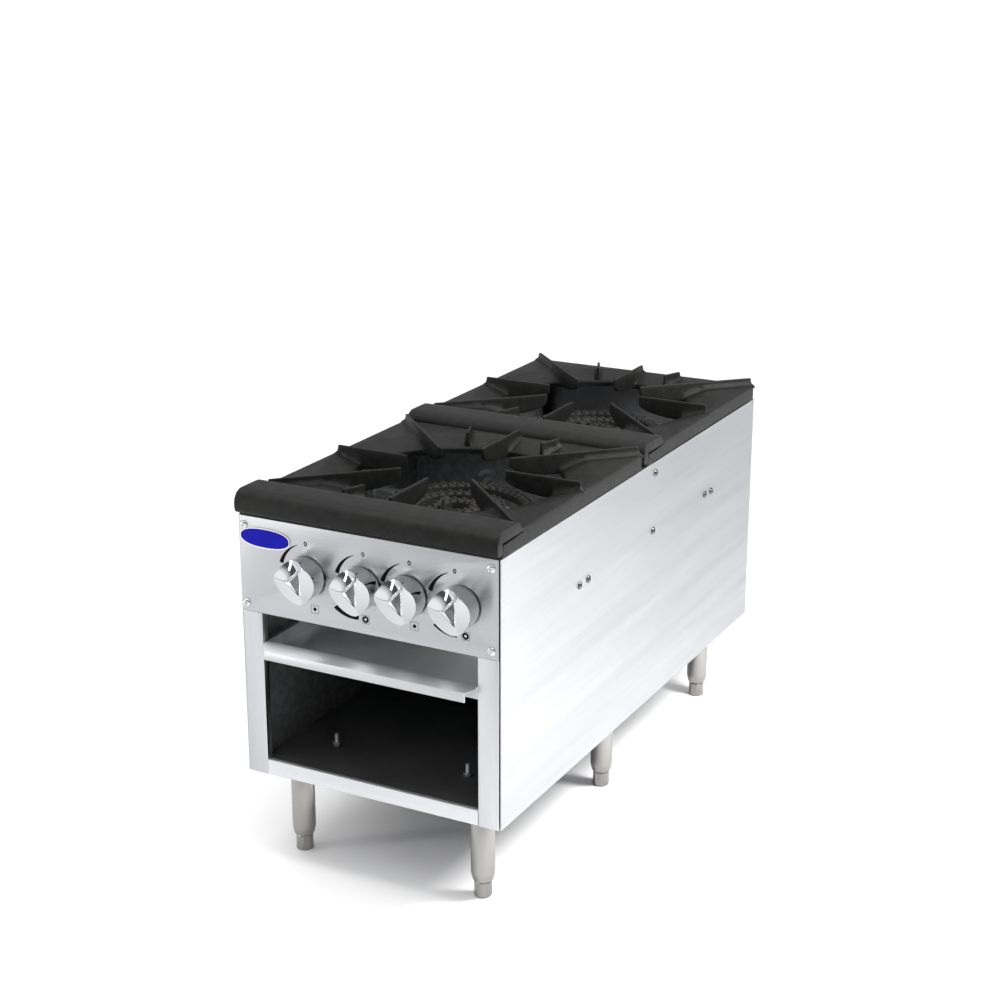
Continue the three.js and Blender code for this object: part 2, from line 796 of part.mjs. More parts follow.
// A channel laid across the burner box carries the back of each burner's rings.
function burnerBar(y) {
  const top = ringBottom - seat;
  const wall = (from) => block(-linerInner, linerInner, from, from + sheet, top - barHeight, top);
  return join(
    block(-linerInner, linerInner, y, y + barWidth, top - sheet, top),
    wall(y),
    wall(y + barWidth - sheet),
  );
}
add('burner_bar_front', burnerBar(bowlCentre + barBack), zinc);
add('burner_bar_rear', burnerBar(rearY + barBack), zinc);

// ---- Gas train ----

// The manifold spans the liners behind the panel; an elbow at its right end takes the inlet pipe.
const elbowEnd = manifoldBack + elbowRadius + 2;
const manifold = join(
  rod('x', [manifoldBack, manifoldHeight], manifoldRadius, -linerInner, linerInner),
  rod('y', [inletX, manifoldHeight], elbowRadius, manifoldBack, elbowEnd),
  rod('x', [manifoldBack, manifoldHeight], elbowRadius, inletX - 14, linerInner),
);
add('manifold_pipe', manifold, blackPipe);

const inletPipe = cut(
  rod('y', [inletX, manifoldHeight], manifoldRadius, elbowEnd + seat, depth + inletReach),
  rod('y', [inletX, manifoldHeight], inletBore, depth - 20, depth + inletReach + 1),
);
add('gas_inlet_pipe', inletPipe, blackPipe);

// A valve stands on the manifold, its shaft to the front and its outlet to the back.
valveX.forEach((x, i) => {
  const number = i + 1;
  const low = valveHeight - valveHalf - 1;
  const body = join(
    block(x - valveHalf, x + valveHalf, valveFront, valveBack, low, valveHeight + valveHalf),
    rod('z', [x, manifoldBack], nippleRadius, manifoldHeight + manifoldRadius + seat, low + 1, 12),
    rod('y', [x, valveHeight], outletRadius, valveBack - 1, valveBack + outletLength, 6),
  );
  add(`valve_${number}`, body, brass);

  const socketEnd = -knobGap - shaftSocket;
  add(`shaft_${number}`, rod('y', [x, valveHeight], shaftRadius, socketEnd + seat, valveFront - seat, 12), brass);

  const socket = rod('y', [0, 0], shaftRadius + seat, socketEnd, 1, 12);
  const knob = cut(knobBody(), ...scoops(), socket).translate([x, 0, valveHeight]);
  add(`knob_${number}`, knob, chrome);
});

// A knob is a round body with a blind socket behind, scooped away between three ridges.
function knobBody() {
  const front = knobGap + knobDepth;
  const profile = [
    [0, knobGap],
    [knobBack, knobGap],
    [knobRadius, front - knobEdge * 2],
    [knobRadius - knobEdge, front],
    [0, front],
  ];
  return turned(profile, 'z', [0, 0, 0], 36).rotate([90, 0, 0]);
}

// A scoop is a shallow round hollow beside the knob. Its edge runs from the outer end of one ridge,
// past the axis, to the outer end of the next.
function scoops() {
  const front = knobGap + knobDepth;
  return ridgeAngles.map((from, i) => {
    const to = ridgeAngles[(i + 1) % 3] + (i === 2 ? 360 : 0);
    const edge = scoopEdges[i];
    const spread = THREE.MathUtils.degToRad(to - from) / 2;
    const middle = THREE.MathUtils.degToRad((from + to) / 2);
    const reach = (knobRadius ** 2 - edge ** 2) / (2 * (knobRadius * Math.cos(spread) - edge));
    const radius = reach - edge;
    const profile = [];
    for (let step = 0; step <= 6; step += 1) {
      const share = step / 6;
      profile.push([radius * share, front - scoopDepth * (1 - share ** 2)]);
    }
    profile.push([radius, front + 1], [0, front + 1]);
    const hollow = turned(profile, 'z', [0, 0, 0], 32).rotate([90, 0, 0]);
    return hollow.translate([reach * Math.cos(middle), 0, reach * Math.sin(middle)]);
  });
}

// The rear burner's valves feed it through two tubes that end in fittings in the middle wall.
[['inner', 2], ['outer', 3]].forEach(([name, i]) => {
  const x = valveX[i];
  const from = valveBack + outletLength + seat;
  const fittingStart = middleWallBack - fittingLength / 2;
  const feed = join(
    rod('y', [x, valveHeight], supplyRadius, from, fittingStart + 1, 12),
    rod('y', [x, valveHeight], fittingRadius, fittingStart, fittingStart + fittingLength, 6),
  );
  add(`supply_tube_${name}`, feed, aluminiumTube);
});

// Each pilot's tube rises from the manifold and ends in a hood beside the large ring.
function pilot(route, hoodX, hoodY) {
  const hoodLow = ringTop + 8;
  const path = [...route, [hoodX, hoodY, hoodLow - 25], [hoodX, hoodY, hoodLow + 2]];
  return join(
    tube(path, pilotRadius, 5 * route.length, 6),
    rod('z', [hoodX, hoodY], pilotHood, hoodLow, hoodLow + pilotHoodHeight, 8),
  );
}
const pilotFoot = manifoldHeight + manifoldRadius + seat;
const hoodX = -(ringRadii[2] + ringWidth / 2 + pilotHoodGap);
const frontPilot = pilot([
  [pilotFrontX, manifoldBack, pilotFoot],
  [pilotFrontX, manifoldBack, pilotFoot + pilotRise],
  [pilotFrontX, shieldBack, pilotHeight],
  [pilotFrontX, bowlCentre - ringRadii[2], pilotHeight + 4],
], hoodX, bowlCentre - pilotHoodBack);
add('pilot_front', frontPilot, aluminiumTube);

const rearPilot = pilot([
  [pilotRearX, manifoldBack + manifoldRadius + seat, manifoldHeight],
  [pilotRearX, shieldBack + rearPilotBend, manifoldHeight],
  [pilotRearX, bowlCentre - rearPilotLead, manifoldHeight + pilotRise],
  [hoodX, bowlCentre + ringRadii[1], manifoldHeight + rearPilotPass],
  [wallHoleX, middleWallBack - wallLead, wallHoleZ - 2],
  [wallHoleX, middleWallBack + wallPast, wallHoleZ],
  [wallHoleX - wallSwing, rearY - ringRadii[2] - rearRingGap, wallHoleZ],
], hoodX, rearY - pilotHoodBack);
add('pilot_rear', rearPilot, aluminiumTube);

// The origin lies on the floor under the middle of the whole object.
const frontEnd = -knobGap - knobDepth;
range.position.y = -(frontEnd + depth + inletReach) / 2;

export default range;
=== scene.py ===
import math
import bpy
import bmesh
import numpy as np
from mathutils import Matrix, Vector


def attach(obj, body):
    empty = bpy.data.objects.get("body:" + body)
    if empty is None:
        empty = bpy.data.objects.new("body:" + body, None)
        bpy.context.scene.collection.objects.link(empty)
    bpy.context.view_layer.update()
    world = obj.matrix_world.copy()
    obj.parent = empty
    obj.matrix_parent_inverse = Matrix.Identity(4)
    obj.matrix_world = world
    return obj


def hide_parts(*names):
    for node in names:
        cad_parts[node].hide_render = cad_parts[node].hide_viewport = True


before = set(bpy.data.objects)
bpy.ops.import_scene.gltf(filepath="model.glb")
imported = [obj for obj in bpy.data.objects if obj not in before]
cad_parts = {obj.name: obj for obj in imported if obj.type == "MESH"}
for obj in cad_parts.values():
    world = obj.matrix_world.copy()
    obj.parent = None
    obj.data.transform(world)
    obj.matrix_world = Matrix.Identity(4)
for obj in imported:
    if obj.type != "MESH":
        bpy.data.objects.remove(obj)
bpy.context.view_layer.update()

# ---- Studio ----
# A plain pale floor under soft boxes. The camera stands in front and to the right, a little above
# the castings, where the photograph was taken from.

MM, FRONT_TO_ORIGIN = .001, 505
azimuth, elevation = .48471451, .31085142
camera_place = Vector((1.41615, -2.76205, 1.49443))
backward = Vector((math.sin(azimuth) * math.cos(elevation), -math.cos(azimuth) * math.cos(elevation),
                   math.sin(elevation)))
rightward = (-backward).cross(Vector((0, 0, 1))).normalized()
upward = rightward.cross(-backward)
lens = bpy.data.cameras.new("studio_camera")
lens.lens, lens.sensor_width, lens.clip_end = 68.111, 36, 200
camera = bpy.data.objects.new("studio_camera", lens)
camera.matrix_world = Matrix([(*axes, place) for *axes, place in
                              zip(rightward, upward, backward, camera_place)] + [(0, 0, 0, 1)])
bpy.context.collection.objects.link(camera)
bpy.context.scene.camera = camera
bpy.context.scene.view_settings.view_transform = "Standard"


def linear(code):
    """The linear RGBA of an sRGB hex colour."""
    part = np.array([int(code[i:i + 2], 16) for i in (1, 3, 5)]) / 255
    part = np.where(part <= .04045, part / 12.92, ((part + .055) / 1.055) ** 2.4)
    return (*part.tolist(), 1)


def add(tree, kind, inputs=None, **settings):
    """A new node with its settings. An input is a value, or another node's output to link from."""
    node = tree.nodes.new(kind)
    for name, value in settings.items():
        setattr(node, name, value)
    for name, value in (inputs or {}).items():
        if isinstance(value, bpy.types.NodeSocket):
            tree.links.new(value, node.inputs[name])
        else:
            node.inputs[name].default_value = value
    return node


def finish(name, **sockets):
    """A new material with one Principled shader whose own sockets are set. Returns all three."""
    material = bpy.data.materials.new(name)
    material.use_nodes = True
    tree = material.node_tree
    tree.nodes.clear()
    names = {key.replace("_", " ").title().replace("Ior", "IOR"): value
             for key, value in sockets.items()}
    shader = add(tree, "ShaderNodeBsdfPrincipled", names)
    add(tree, "ShaderNodeOutputMaterial", {"Surface": shader.outputs[0]})
    return material, tree, shader


def ramp(tree, factor, stops):
    """A colour ramp through (place, hex) stops."""
    node = add(tree, "ShaderNodeValToRGB", {"Fac": factor})
    while len(node.color_ramp.elements) < len(stops):
        node.color_ramp.elements.new(.5)
    for element, (at, code) in zip(node.color_ramp.elements, stops):
        element.position, element.color = at, linear(code)
    return node.outputs[0]


def noise(tree, scale, detail=2, roughness=.5):
    """The value of a noise over the object's own coordinates, with scale periods to a metre."""
    position = add(tree, "ShaderNodeTexCoord").outputs["Object"]
    return add(tree, "ShaderNodeTexNoise", {"Vector": position, "Scale": scale, "Detail": detail,
                                            "Roughness": roughness}).outputs["Fac"]


def tint(tree, shader, value, low, high, start=.3, end=.7):
    """Colours a shader by a value, from one sRGB hex colour to another."""
    tree.links.new(ramp(tree, value, [(start, low), (end, high)]), shader.inputs["Base Color"])


def surface(grid, wrap_rows=False, wrap_columns=False, caps=False):
    """Points and faces of a grid (rows, columns, 3). Caps close its first and last row."""
    rows, columns = grid.shape[:2]
    index = np.arange(rows * columns).reshape(rows, columns)
    down = np.vstack([index, index[:1]]) if wrap_rows else index
    wide = np.hstack([down, down[:, :1]]) if wrap_columns else down
    quads = np.stack([wide[:-1, :-1], wide[:-1, 1:], wide[1:, 1:], wide[1:, :-1]], -1)
    quads = quads.reshape(-1, 4).tolist()
    if caps:
        quads += [index[0][::-1].tolist(), index[-1].tolist()]
    return grid.reshape(-1, 3), quads


def put(name, parts, material, body, sharp=35, replaces=(), weld=1e-6):
    """One piece out of closed surfaces in millimetres from the cabinet's front, floor and middle."""
    points, faces, start = [], [], 0
    for places, polygons in parts:
        points.append(places)
        faces += [[corner + start for corner in polygon] for polygon in polygons]
        start += len(places)
    places = (np.vstack(points) - [0, FRONT_TO_ORIGIN, 0]) * MM
    mesh = bpy.data.meshes.new(name)
    mesh.from_pydata(places.tolist(), [], faces)
    work = bmesh.new()
    work.from_mesh(mesh)
    bmesh.ops.remove_doubles(work, verts=work.verts, dist=weld)
    bmesh.ops.dissolve_degenerate(work, edges=work.edges, dist=weld)
    bmesh.ops.recalc_face_normals(work, faces=work.faces)
    work.to_mesh(mesh)
    work.free()
    mesh.shade_smooth()
    mesh.set_sharp_from_angle(angle=math.radians(sharp))
    mesh.materials.append(material)
    piece = bpy.data.objects.new(name, mesh)
    bpy.context.collection.objects.link(piece)
    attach(piece, body)
    if replaces:
        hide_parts(*replaces)


floor_material, tree, shader = finish("matt_white_studio_floor", roughness=.9, specular_ior_level=.1)
tint(tree, shader, noise(tree, .8), "#f3f3f4", "#f7f7f7", 0, 1)
floor_mesh = bpy.data.meshes.new("studio_floor")
reach = 60
floor_mesh.from_pydata([(-reach, -reach, 0), (reach, -reach, 0), (reach, reach, 0), (-reach, reach, 0)],
                       [], [(0, 1, 2, 3)])
floor_mesh.materials.append(floor_material)
studio_floor = bpy.data.objects.new("studio_floor", floor_mesh)
bpy.context.collection.objects.link(studio_floor)

sky = bpy.data.worlds.new("soft_studio")
bpy.context.scene.world = sky
sky.use_nodes = True
tree = sky.node_tree
tree.nodes.clear()
look = add(tree, "ShaderNodeTexCoord").outputs["Generated"]
height = add(tree, "ShaderNodeSeparateXYZ", {"Vector": look}).outputs["Z"]
shade = ramp(tree, height, [(0, "#ffffff"), (.045, "#ffffff"), (.1, "#4a4a4d"), (.36, "#525255"),
                            (.62, "#ffffff")])
air = add(tree, "ShaderNodeBackground", {"Color": shade, "Strength": 1.5})
add(tree, "ShaderNodeOutputWorld", {"Surface": air.outputs[0]})


def soft_box(name, place, aim, width, height, watts):
    """A rectangular area light at a place, facing another."""
    light = bpy.data.lights.new(name, "AREA")
    light.shape, light.size, light.size_y, light.energy = "RECTANGLE", width, height, watts
    lamp = bpy.data.objects.new(name, light)
    lamp.location = place
    lamp.rotation_euler = (Vector(aim) - Vector(place)).to_track_quat("-Z", "Y").to_euler()
    lamp.visible_camera = False
    bpy.context.collection.objects.link(lamp)


soft_box("overhead_strip", (-.1, -.75, 2.3), (-.05, -.45, .6), 2.2, .2, 16)
soft_box("right_pool", (1.05, .2, 1.15), (.8, .25, 0), .4, .4, 30)
soft_box("front_left_strip", (-2.1, -2.1, .9), (0, -.5, .45), .3, 1.3, 14)

# ---- Stainless sheet ----
# Cabinet sheet is stainless steel with a fine brushed grain that runs along each panel. The grain
# spreads every reflection across itself, so bright and dark bands stand upright on the panels.


def vary_roughness(tree, shader, value, low, high):
    """Roughness from a value that lies mostly between .3 and .7."""
    spread = add(tree, "ShaderNodeMapRange", {"Value": value, "From Min": .3, "From Max": .7,
                                              "To Min": low, "To Max": high})
    tree.links.new(spread.outputs[0], shader.inputs["Roughness"])


def emboss(tree, shader, value, strength, distance):
    """Relief from a value, on top of any relief that the shader already has."""
    node = add(tree, "ShaderNodeBump", {"Height": value, "Strength": strength, "Distance": distance})
    for link in list(shader.inputs["Normal"].links):
        tree.links.new(link.from_socket, node.inputs["Normal"])
    tree.links.new(node.outputs[0], shader.inputs["Normal"])


def brushed_steel(name, grain, spread, code="#b2b3b6", roughness=.4, anisotropic=.85, line=.9):
    """Steel brushed along the grain axis (0 x, 1 y, 2 z). Real lines are about 0.1 mm apart; they are
    drawn line mm apart so that they show. Spread is the tangent: across the grain."""
    material, tree, shader = finish(name, metallic=1, roughness=roughness, anisotropic=anisotropic)
    position = add(tree, "ShaderNodeTexCoord").outputs["Object"]
    across = 1 / (line * MM)
    scale = [across] * 3
    scale[grain] = across / 160
    stretched = add(tree, "ShaderNodeMapping", {"Vector": position, "Scale": scale})
    lines = add(tree, "ShaderNodeTexNoise", {"Vector": stretched.outputs[0], "Scale": 1, "Detail": 3})
    wide = [60, 60, 60]
    wide[grain] = 2.5
    broad = add(tree, "ShaderNodeMapping", {"Vector": position, "Scale": wide})
    patches = add(tree, "ShaderNodeTexNoise", {"Vector": broad.outputs[0], "Scale": 1, "Detail": 2})
    mixed = add(tree, "ShaderNodeMath", {0: lines.outputs["Fac"], 1: .6}, operation="MULTIPLY")
    mixed = add(tree, "ShaderNodeMath", {0: patches.outputs["Fac"], 1: .4, 2: mixed.outputs[0]},
                operation="MULTIPLY_ADD").outputs[0]
    vary_roughness(tree, shader, mixed, roughness - .05, roughness + .06)
    emboss(tree, shader, lines.outputs["Fac"], .25, .02 * MM)
    darker = (*[.84 * part for part in linear(code)[:3]], 1)
    tone = add(tree, "ShaderNodeMixRGB", {"Fac": mixed, "Color1": linear(code), "Color2": darker})
    tangent = add(tree, "ShaderNodeCombineXYZ", dict(zip("XYZ", spread)))
    tree.links.new(tone.outputs[0], shader.inputs["Base Color"])
    tree.links.new(tangent.outputs[0], shader.inputs["Tangent"])
    return material


side_steel = brushed_steel("stainless_brushed_along_the_side", 1, (0, 0, 1), code="#bcbdc0")
front_steel = brushed_steel("stainless_brushed_across_the_front", 0, (0, .3, 1), code="#b9babd",
                            roughness=.34, anisotropic=.8)
upright_steel = brushed_steel("stainless_brushed_up_the_stile", 2, (1, 0, 0), code="#c2c3c6", roughness=.3)
# Painted light: the rail's steel is the front's brushed steel with a lighter colour, standing in for the
# light on the rail.
rail_steel_painted_lighter = brushed_steel("stainless_along_the_rail_painted_lighter", 0, (0, .3, 1), code="#e0e1e4", roughness=.34)
tray_steel = brushed_steel("stainless_tray_sheet", 0, (0, 1, .3), code="#cfd0d2", roughness=.42)


def dress(material, *nodes):
    """Gives CAD nodes a material through their objects' own slots."""
    for node in nodes:
        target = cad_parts[node]
        if not target.material_slots:
            target.data.materials.append(material)
        for holder in target.material_slots:
            holder.link = "OBJECT"
            holder.material = material


def bent_sheet(name, node, material, body, bend=.7):
    """CAD sheet with its loose triangles merged, then every corner rounded by a bevel: bends get
    their radius, and the cut edges of the sheet stay nearly sharp."""
    work = bmesh.new()
    work.from_mesh(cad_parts[node].data)
    bmesh.ops.remove_doubles(work, verts=work.verts, dist=2e-6)
    bmesh.ops.dissolve_limit(work, angle_limit=math.radians(1), verts=work.verts, edges=work.edges)
    mesh = bpy.data.meshes.new(name)
    work.to_mesh(mesh)
    work.free()
    mesh.materials.append(material)
    piece = bpy.data.objects.new(name, mesh)
    bpy.context.collection.objects.link(piece)
    bevel = piece.modifiers.new("bend", "BEVEL")
    bevel.width, bevel.segments = bend * MM, 3
    bevel.limit_method, bevel.angle_limit = "ANGLE", math.radians(40)
    bevel.use_clamp_overlap = True
    bevel.harden_normals = True
    mesh.shade_smooth()
    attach(piece, body)
    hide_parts(node)


dress(side_steel, "side_panel_left", "side_panel_right", "back_panel")

# ---- Control panel and stiles ----
# The control panel is folded back on all four sides. Under it two channel stiles run down to the
# floor of the cabinet.

bent_sheet("panel_front", "control_panel", front_steel, "cabinet")
bent_sheet("stile_front_left", "stile_left", upright_steel, "cabinet")
bent_sheet("stile_front_right", "stile_right", upright_steel, "cabinet")

# ---- Inside sheet and rail ----
# The shelf is coated a dull black. The liners, heat shield and middle wall round the burners are
# galvanised sheet that has gone dull. The shelf's front edge is bright, as the rail under the stiles: the
# rail's steel is the front's brushed steel painted lighter, a painted highlight for the light it catches.

dark_coat, tree, shader = finish("baked_black_coating", roughness=.6)
tint(tree, shader, noise(tree, 14, 5), "#262626", "#343433")
emboss(tree, shader, noise(tree, 700), .3, .00006)
dress(dark_coat, "shelf")


def spangle(tree, scale):
    """Crystals of a zinc bath: each point's distance from the middle of its crystal."""
    position = add(tree, "ShaderNodeTexCoord").outputs["Object"]
    return add(tree, "ShaderNodeTexVoronoi", {"Vector": position, "Scale": scale}).outputs["Distance"]


dull_zinc, tree, shader = finish("dull_galvanised_sheet", metallic=.85, roughness=.5)
tint(tree, shader, spangle(tree, 90), "#77787a", "#929496", 0, 1)
dress(dull_zinc, "liner_left", "liner_right", "heat_shield", "middle_wall")

rail_half, rail_low, rail_high = 190.1, 153, 178.5
rail_profile = np.array([(6, rail_high + .25), (.6, rail_high + .25), (0, rail_high - .4),
                         (-.25, rail_high - 1.2), (-.25, rail_low + .4), (.1, rail_low), (.3, rail_low)])


def extruded(profile, x_from, x_to, thickness):
    """A sheet whose section (y, z) is carried along x, and offset inwards by its thickness."""
    step = np.gradient(profile, axis=0)
    normal = np.stack([step[:, 1], -step[:, 0]], -1)
    normal /= np.linalg.norm(normal, axis=1, keepdims=True)
    section = np.vstack([profile, (profile + normal * thickness)[::-1]])
    grid = np.stack([np.insert(section, 0, x, axis=1) for x in np.linspace(x_from, x_to, 12)])
    return surface(grid, wrap_columns=True, caps=True)


put("bottom_rail_skin", [extruded(rail_profile, -rail_half, rail_half, -.2)], rail_steel_painted_lighter, "cabinet")

# ---- Cast grates ----
# Each grate is one sand casting in grey iron under black heat-proof paint: a flanged plate with a
# dished bowl round its opening, a rounded front band, eight long ribs and four short ones.

cast_paint, tree, shader = finish("black_painted_sand_cast_iron", roughness=.42, specular_ior_level=.14)
sand, lumps = noise(tree, 520, 3, .6), noise(tree, 60, 4)
tint(tree, shader, lumps, "#111110", "#1b1b1a")
vary_roughness(tree, shader, sand, .32, .52)
emboss(tree, shader, sand, .9, .0008)
emboss(tree, shader, lumps, .4, .0006)

half_width, casting_length, casting_pitch = 228.5, 506, 521
border_height, rib_height, casting_foot = 611.3, 624.3, 583.8
bowl_middle, bowl_radius, opening_radius, bowl_depth, lip_thickness = 280, 220, 176, 13.3, 10.5
plate_thickness, flange_thickness = 7, 6


def rounded_loop(middle_x, middle_y, half_x, half_y, corner, arc=14, straight=14):
    """Points round a rectangle with round corners: a quarter turn, then a straight run, four times."""
    turn = np.linspace(0, np.pi / 2, arc + 1)
    corners = [(half_x - corner, half_y - corner), (corner - half_x, half_y - corner),
               (corner - half_x, corner - half_y), (half_x - corner, corner - half_y)]
    runs = []
    for number, (x, y) in enumerate(corners):
        angle = turn + number * np.pi / 2
        runs.append(np.stack([x + corner * np.cos(angle), y + corner * np.sin(angle)], -1))
    loop = []
    for number, run in enumerate(runs):
        following = runs[(number + 1) % 4][0]
        share = np.linspace(0, 1, straight + 1)[1:-1, None]
        loop += [run, run[-1] * (1 - share) + following * share]
    return np.vstack(loop) + [middle_x, middle_y]


def dish(distance):
    """Height of the casting's upper face at a distance from the bowl's middle: a flat border, a
    straight cone from the bowl's edge to the opening, and a small radius between them."""
    slope = bowl_depth / (bowl_radius - opening_radius)
    cone = border_height - slope * (bowl_radius - distance)
    soft = .5
    return -soft * np.log(np.exp(-(cone - border_height) / soft) + 1) + border_height


def cast_plate(front):
    """Loops carried from the flange's foot up its face, over the border, down the bowl, round the
    lip of the opening and back under the plate to the inside of the flange. The outline is a
    rectangle with round corners, and the bowl's loops are circles with points at the same angles."""
    middle, bowl_y = front + casting_length / 2, front + bowl_middle
    stations = []
    for inset, z in ((0, casting_foot), (0, casting_foot + 1), (0, border_height - 4),
                     (.5, border_height - 1.8), (1.8, border_height - .5), (4, border_height)):
        loop = rounded_loop(0, middle, half_width - inset, casting_length / 2 - inset, max(7 - inset, 3))
        stations.append(np.column_stack([loop, np.full(len(loop), z)]))
    angle = np.arctan2(loop[:, 1] - bowl_y, loop[:, 0])
    lip = border_height - bowl_depth
    cone = [(r, float(dish(r))) for r in
            (222.5, 221.5, 220.8, 220.2, 219.6, 218.8, 217.5, 212, 200, 190, 182, 178)]
    plate_low = border_height - plate_thickness
    under = [(opening_radius + .6, lip - .4), (opening_radius - .4, lip - 1.6),
             (opening_radius - .6, lip - 4), (opening_radius - .2, lip - lip_thickness + 1.2),
             (opening_radius + 1, lip - lip_thickness), (opening_radius + 6, lip - lip_thickness),
             (bowl_radius - 4, plate_low - 1), (bowl_radius, plate_low)]
    for r, z in cone + under:
        stations.append(np.stack([r * np.cos(angle), bowl_y + r * np.sin(angle),
                                  np.full(len(angle), z)], -1))
    for z in (plate_low, casting_foot + 1, casting_foot):
        loop = rounded_loop(0, middle, half_width - flange_thickness,
                            casting_length / 2 - flange_thickness + .8, 3)
        stations.append(np.column_stack([loop, np.full(len(loop), z)]))
    grid = np.stack(stations)
    pad = 42  # the flange stands on a pad of this length at each end
    raised = (np.abs(grid[..., 1] - middle) < casting_length / 2 - pad) & (grid[..., 2] < casting_foot + 2)
    grid[..., 2] += np.where(raised, 2.6, 0)
    return surface(grid, wrap_rows=True, wrap_columns=True)


def rib(degrees, front, inner, outer, tip=12, half_thickness=2.5):
    """A fin along a radius. Its section is a rounded rectangle that widens downwards and has a
    fillet where it meets the plate. Its under edge is a quarter of an ellipse from its tip down to
    the bottom of the opening's lip, and its outer end is drawn out where it meets the border."""
    distance = np.r_[inner + np.array([0, .2, .7, 1.5, 2.6, 4.5, 7]),
                     np.linspace(inner + 10, outer - 8, 44),
                     outer - np.array([5, 2.6, 1.2, .4, 0])][:, None]
    angle = np.radians(degrees)
    tip_low, low = rib_height - tip, rib_height - 34
    share = np.clip((distance - inner) / max(opening_radius - inner, 1), 0, 1)
    under = tip_low - (tip_low - low) * np.sqrt(1 - (1 - share) ** 2)
    plate = dish(distance)
    under = np.where(distance > opening_radius + 1, plate - 5.5, under)
    end = np.minimum(distance - inner, outer - distance)
    narrow = np.sqrt(np.clip(1 - (1 - np.clip(end / 2.4, 0, 1)) ** 2, 0, 1))
    top = rib_height - 2 * (1 - np.sqrt(np.clip(1 - (1 - np.clip(end / 3, 0, 1)) ** 2, 0, 1)))
    turn = np.linspace(0, 2 * np.pi, 48, endpoint=False)[None]
    power = .3
    up = np.sign(np.sin(turn)) * np.abs(np.sin(turn)) ** power
    side = np.sign(np.cos(turn)) * np.abs(np.cos(turn)) ** power
    z = (top + under) / 2 + up * (top - under) / 2
    foot = np.clip((plate + 7 - z) / 7, 0, 1.2) ** 2
    on_plate = np.clip((distance - opening_radius + 2) / 3, 0, 1)
    wide = side * (half_thickness + .05 * (rib_height - z) + 4.5 * foot * on_plate) * narrow
    reach = distance + 5 * foot * np.clip((distance - outer + 9) / 9, 0, 1)
    x, y = reach * np.cos(angle), reach * np.sin(angle)
    grid = np.stack([x - wide * np.sin(angle), y + wide * np.cos(angle) + front + bowl_middle, z], -1)
    return surface(grid, wrap_columns=True, caps=True)


def front_band(front):
    """The band's rounded section carried along x, drawn in a little at both ends."""
    top = rib_height + 1
    section = np.array([
        (2, 589.2), (-2, 588.8), (-6.6, 590), (-9, 593), (-10, 599), (-9.6, 606), (-8, 612.5), (-4.8, 618),
        (0, 622), (5, 624.4), (10, top), (30, top), (50, top), (57, top - .5), (62, top - 3.5),
        (66, top - 8.5), (70, border_height + 1.2), (76, border_height), (76, border_height - 6),
        (8, border_height - 8), (7, 592)]) + [front, 0]
    inset = np.array([3, 1.2, .35, 0, 0, .35, 1.2, 3])
    x = np.array([-half_width, -half_width + .35, -half_width + 1.2, -half_width + 3,
                  half_width - 3, half_width - 1.2, half_width - .35, half_width])
    middle = np.array([front + 30, 606])
    size = np.array([44, 19])
    shrink = 1 - inset[:, None, None] / size[None, None]
    placed = middle + (section[None] - middle) * shrink
    grid = np.concatenate([np.broadcast_to(x[:, None, None], (len(x), len(section), 1)), placed], -1)
    return surface(grid, wrap_columns=True, caps=True)


long_rib_ends = (222.5, 314, 221, 314, 222.5, 304, 206, 304)
for place, front in (("front", 0), ("rear", casting_pitch)):
    parts = [cast_plate(front), front_band(front)]
    for number in range(8):
        parts.append(rib(number * 45, front, 90, long_rib_ends[number]))
    for degrees in (67.5, 112.5, 247.5, 292.5):
        parts.append(rib(degrees, front, 180, 222, half_thickness=2.3))
    put(f"{place}_casting", parts, cast_paint, f"{place}_grate", replaces=[f"{place}_grate"])

# ---- Burners ----
# Ring burners are bare sand castings. Each ring has two rows of raised ports round its top, and a
# mixing tube brings gas and air in from below.

burner_cast, tree, shader = finish("bare_grey_iron_casting", roughness=.6, specular_ior_level=.25)
sand = noise(tree, 500, 3)
tint(tree, shader, sand, "#171615", "#262523")
emboss(tree, shader, sand, .5, .0004)


def turned(profile, place, sides):
    """(radius, height) points carried round an upright axis through a place."""
    profile = np.asarray(profile, float)
    angle = np.linspace(0, 2 * np.pi, sides, endpoint=False)
    radius, height = profile[:, :1], np.broadcast_to(profile[:, 1:], (len(profile), sides))
    grid = np.stack([radius * np.cos(angle), radius * np.sin(angle), height], -1) + np.asarray(place, float)
    return surface(grid, wrap_columns=True, wrap_rows=bool(radius[0, 0] and radius[-1, 0]))


ring_top, ring_low, gas_height = 555, 538, 503
port_profile = [(0, -1), (4.4, -1), (3.9, 1.6), (3.2, 4.2), (2.2, 4.9), (1.5, 4.7), (1.3, 3.6), (0, 3.4)]


def burner_ring(radius, y):
    """A ring with a rounded top and a pair of port rows, one outside the other and staggered."""
    profile = [(radius - 8.5, ring_low + 1), (radius - 8.5, ring_top - 5), (radius - 6.5, ring_top - 3),
               (radius - 3, ring_top - 2.6), (radius + 3, ring_top - 2.6), (radius + 6.5, ring_top - 3),
               (radius + 8.5, ring_top - 5), (radius + 8.5, ring_low + 1), (radius + 7.5, ring_low),
               (radius - 7.5, ring_low)]
    shapes = [turned(profile, (0, y, 0), 72)]
    port, polygons = turned(port_profile, (0, 0, 0), 8)
    for row, shift in enumerate((-4.6, 4.6)):
        count = int(round(2 * math.pi * radius / 15))
        angle = (np.arange(count) + row / 2) * 2 * np.pi / count
        centre = np.stack([(radius + shift) * np.cos(angle), y + (radius + shift) * np.sin(angle),
                           np.full(count, ring_top - 4.6)], -1)
        points = (port[None] + centre[:, None]).reshape(-1, 3)
        step = (np.arange(count) * len(port)).tolist()
        shapes.append((points, [[corner + start for corner in polygon]
                                for start in step for polygon in polygons]))
    return shapes


